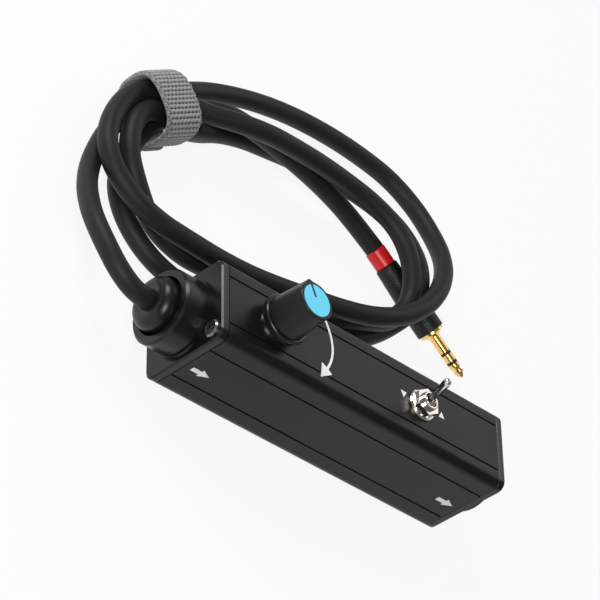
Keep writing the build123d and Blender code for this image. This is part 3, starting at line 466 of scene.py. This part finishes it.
# Printed marks: flat pieces a few hundredths of a millimetre thick on the housing

TOP_FACE = 32.0
SIDE_FACE = -13.5
PRINT_BOTTOM, PRINT_TOP = 0.01, 0.04  # over the face, on the way out


def on_top(x, y, over):
    return (x, y, TOP_FACE + over)


def on_side(x, z, over):
    return (x, SIDE_FACE - over, z)


def print_mark(name, corners, place, look):
    """A mark with the given outline, laid on the face that the place function knows."""
    low, high = ([place(*corner, over) for corner in corners] for over in (PRINT_BOTTOM, PRINT_TOP))
    show(name, plate_mesh(name, low, high), look, "case")


def curved_arrow():
    """Outline of the turn arrow beside the knob: a bent band that ends in a triangular head."""
    start, pull, end = Vector((-17.4, 11.4)), Vector((-12.2, 2.6)), Vector((-17.0, -5.2))
    head = [(-19.2, -4.1), (-19.8, -9.4), (-15.2, -6.7)]
    half_width = 0.42
    steps = 16
    left, right = [], []
    for step in range(steps + 1):
        t = step / steps
        place = start * (1 - t) ** 2 + pull * 2 * t * (1 - t) + end * t ** 2
        way = ((pull - start) * (1 - t) + (end - pull) * t).normalized()
        side = Vector((-way.y, way.x)) * half_width
        left.append(tuple(place + side))
        right.append(tuple(place - side))
    return right + head + list(reversed(left))


def flow_arrow(x, z):
    """Outline of an arrow on the side, pointing along +X from its tail's middle."""
    shaft, length = 3.2, 6.6
    half_shaft, half_head = 0.85, 1.75
    return [(x, z - half_shaft), (x + shaft, z - half_shaft), (x + shaft, z - half_head), (x + length, z),
            (x + shaft, z + half_head), (x + shaft, z + half_shaft), (x, z + half_shaft)]


print_mark("turn_arrow", curved_arrow(), on_top, print_white)
print_mark("lift_mark", [(13.5, 1.8), (14.75, -0.4), (16.0, 1.8)], on_top, print_white)
print_mark("ground_mark", [(29.7, -0.3), (32.1, -0.3), (30.9, 1.9)], on_top, print_white)
print_mark("in_arrow", flow_arrow(-53.2, 14.0), on_side, print_grey)
print_mark("out_arrow", flow_arrow(46.6, 14.6), on_side, print_grey)


# Knob: the dark pointer line in the cap's slot, and the soft shoulder above the skirt's wall

KNOB_MIDDLE = (-37.3, 0.0)
POINTER_TURN = radians(114)  # from +X, at rest
POINTER_START, POINTER_END = 1.1, 5.0
POINTER_HALF_WIDTH = 0.45
POINTER_HEIGHTS = (47.6, 48.36)
SHOULDER_RADIUS = 7.2
SHOULDER_HALF_THICKNESS = 0.75
SHOULDER_HEIGHT = 35.9
SHOULDER_STEPS = 96
SHOULDER_SIDES = 16


def pointer_outline(height):
    way = Vector((cos(POINTER_TURN), sin(POINTER_TURN)))
    side = Vector((-way.y, way.x))
    outline = []
    for reach, across in ((POINTER_START, -POINTER_HALF_WIDTH), (POINTER_END, -POINTER_HALF_WIDTH),
                          (POINTER_END, POINTER_HALF_WIDTH), (POINTER_START, POINTER_HALF_WIDTH)):
        place = Vector(KNOB_MIDDLE) + way * reach + side * across
        outline.append((place.x, place.y, height))
    return outline


def shoulder_mesh():
    """A ring with a round section."""
    corners, faces = [], []
    for step in range(SHOULDER_STEPS):
        turn = 2 * pi * step / SHOULDER_STEPS
        here, there = (s % SHOULDER_STEPS * SHOULDER_SIDES for s in (step, step + 1))
        for side in range(SHOULDER_SIDES):
            lean = 2 * pi * side / SHOULDER_SIDES
            reach = SHOULDER_RADIUS + SHOULDER_HALF_THICKNESS * cos(lean)
            corners.append(((KNOB_MIDDLE[0] + reach * cos(turn)) * MM,
                            (KNOB_MIDDLE[1] + reach * sin(turn)) * MM,
                            (SHOULDER_HEIGHT + SHOULDER_HALF_THICKNESS * sin(lean)) * MM))
            follow = (side + 1) % SHOULDER_SIDES
            faces.append((here + side, there + side, there + follow, here + follow))
    mesh = bpy.data.meshes.new("knob_shoulder")
    mesh.from_pydata(corners, [], faces)
    for polygon in mesh.polygons:
        polygon.use_smooth = True
    return mesh


pointer_mesh = plate_mesh("pointer_line", *(pointer_outline(height) for height in POINTER_HEIGHTS))
show("pointer_line", pointer_mesh, plastic_black, "knob_set")
shoulder_gloss = paint("knob_shoulder", (0.006, 0.006, 0.007), 0.24, grain=3000, depth=2e-6)
show("knob_shoulder", shoulder_mesh(), shoulder_gloss, "knob_set")


# Room, lights and camera

FLOOR_REACH = 3.0  # metres
FLOOR_DROP = 0.0002  # keeps the floor just under the lowest faces
FLOOR_COLOR = (0.86, 0.86, 0.86, 1)
FLOOR_ROUGHNESS = 0.8
FLOOR_GLOW = 0.88  # share of white that a direct look at the floor shows; the rest keeps the shadow
WHITE = (1, 1, 1, 1)
WORLD_LIGHT = 0.20

floor_mesh = bpy.data.meshes.new("floor")
floor_mesh.from_pydata([(-FLOOR_REACH, -FLOOR_REACH, 0), (FLOOR_REACH, -FLOOR_REACH, 0),
                        (FLOOR_REACH, FLOOR_REACH, 0), (-FLOOR_REACH, FLOOR_REACH, 0)], [], [(0, 1, 2, 3)])
floor = bpy.data.objects.new("floor", floor_mesh)
floor.location.z = -FLOOR_DROP
bpy.context.scene.collection.objects.link(floor)


def math_node(tree, operation, first, second):
    """A maths node; its second input is a number or an output."""
    node = tree.nodes.new("ShaderNodeMath")
    node.operation = operation
    tree.links.new(first, node.inputs[0])
    if isinstance(second, float):
        node.inputs[1].default_value = second
    else:
        tree.links.new(second, node.inputs[1])
    return node.outputs["Value"]


def ray_share(tree, kinds):
    """1 on the given kinds of ray, from the Light Path node."""
    path = tree.nodes.new("ShaderNodeLightPath")
    total = path.outputs[kinds[0]]
    for kind in kinds[1:]:
        total = math_node(tree, "MAXIMUM", total, path.outputs[kind])
    return total


def white_glow(tree, kind):
    """An Emission or Background shader at a strength that renders as white."""
    node = tree.nodes.new("ShaderNode" + kind)
    node.inputs["Color"].default_value = WHITE
    node.inputs["Strength"].default_value = 1.0
    return node.outputs[kind]


def blend(tree, share, first, second, output):
    """Shows the second shader for the given share, and the first for the rest."""
    node = tree.nodes.new("ShaderNodeMixShader")
    tree.links.new(share, node.inputs["Fac"])
    tree.links.new(first, node.inputs[1])
    tree.links.new(second, node.inputs[2])
    tree.links.new(node.outputs["Shader"], tree.nodes[output].inputs["Surface"])


floor_material = bpy.data.materials.new("pale_floor")
floor_material.use_nodes = True
floor_tree = floor_material.node_tree
floor_shader = floor_tree.nodes["Principled BSDF"]
floor_shader.inputs["Base Color"].default_value = FLOOR_COLOR
floor_shader.inputs["Roughness"].default_value = FLOOR_ROUGHNESS
floor_rays = ray_share(floor_tree, ("Is Camera Ray", "Is Glossy Ray", "Is Transmission Ray"))
blend(floor_tree, math_node(floor_tree, "MULTIPLY", floor_rays, FLOOR_GLOW), floor_shader.outputs["BSDF"],
      white_glow(floor_tree, "Emission"), "Material Output")
floor_mesh.materials.append(floor_material)

world = bpy.data.worlds.new("studio")
bpy.context.scene.world = world
world.use_nodes = True
world_tree = world.node_tree
world_light = world_tree.nodes["Background"]
world_light.inputs["Color"].default_value = WHITE
world_light.inputs["Strength"].default_value = WORLD_LIGHT
blend(world_tree, ray_share(world_tree, ("Is Camera Ray", "Is Transmission Ray")),
      world_light.outputs["Background"], white_glow(world_tree, "Background"), "World Output")


def lamp(name, place, target, size, power):
    """A square soft light at a place, aimed at a target."""
    data = bpy.data.lights.new(name, "AREA")
    data.size = size
    data.energy = power
    light = bpy.data.objects.new(name, data)
    light.location = place
    way = Vector(target) - Vector(place)
    light.rotation_euler = way.to_track_quat("-Z", "Y").to_euler()
    bpy.context.scene.collection.objects.link(light)


lamp("top_light", (0.66, 0.62, 0.66), (0, 0.03, 0), 0.75, 2.0)
lamp("left_light", (-0.56, 0.58, 0.58), (-0.04, 0.03, 0.02), 0.34, 4.5)
lamp("front_light", (-0.75, -0.75, 0.9), (0, 0.03, 0), 0.6, 11)

# The camera was fitted to the housing's edges in the photograph
CAMERA_PLACE = Vector((-0.52985, -0.50168, 0.53223))
CAMERA_RIGHT = Vector((0.71278, -0.01387, 0.70125))
CAMERA_UP = Vector((-0.40445, 0.80872, 0.42708))
camera_data = bpy.data.cameras.new("camera")
camera_data.sensor_width = 36
camera_data.lens = 182.6
camera_data.clip_start = 0.01
camera = bpy.data.objects.new("camera", camera_data)
bpy.context.scene.collection.objects.link(camera)
turned = Matrix((CAMERA_RIGHT, CAMERA_UP, CAMERA_RIGHT.cross(CAMERA_UP))).transposed().to_4x4()
camera.matrix_world = Matrix.Translation(CAMERA_PLACE) @ turned
bpy.context.scene.camera = camera

bpy.context.scene.view_settings.view_transform = "Standard"

bpy.context.view_layer.update()
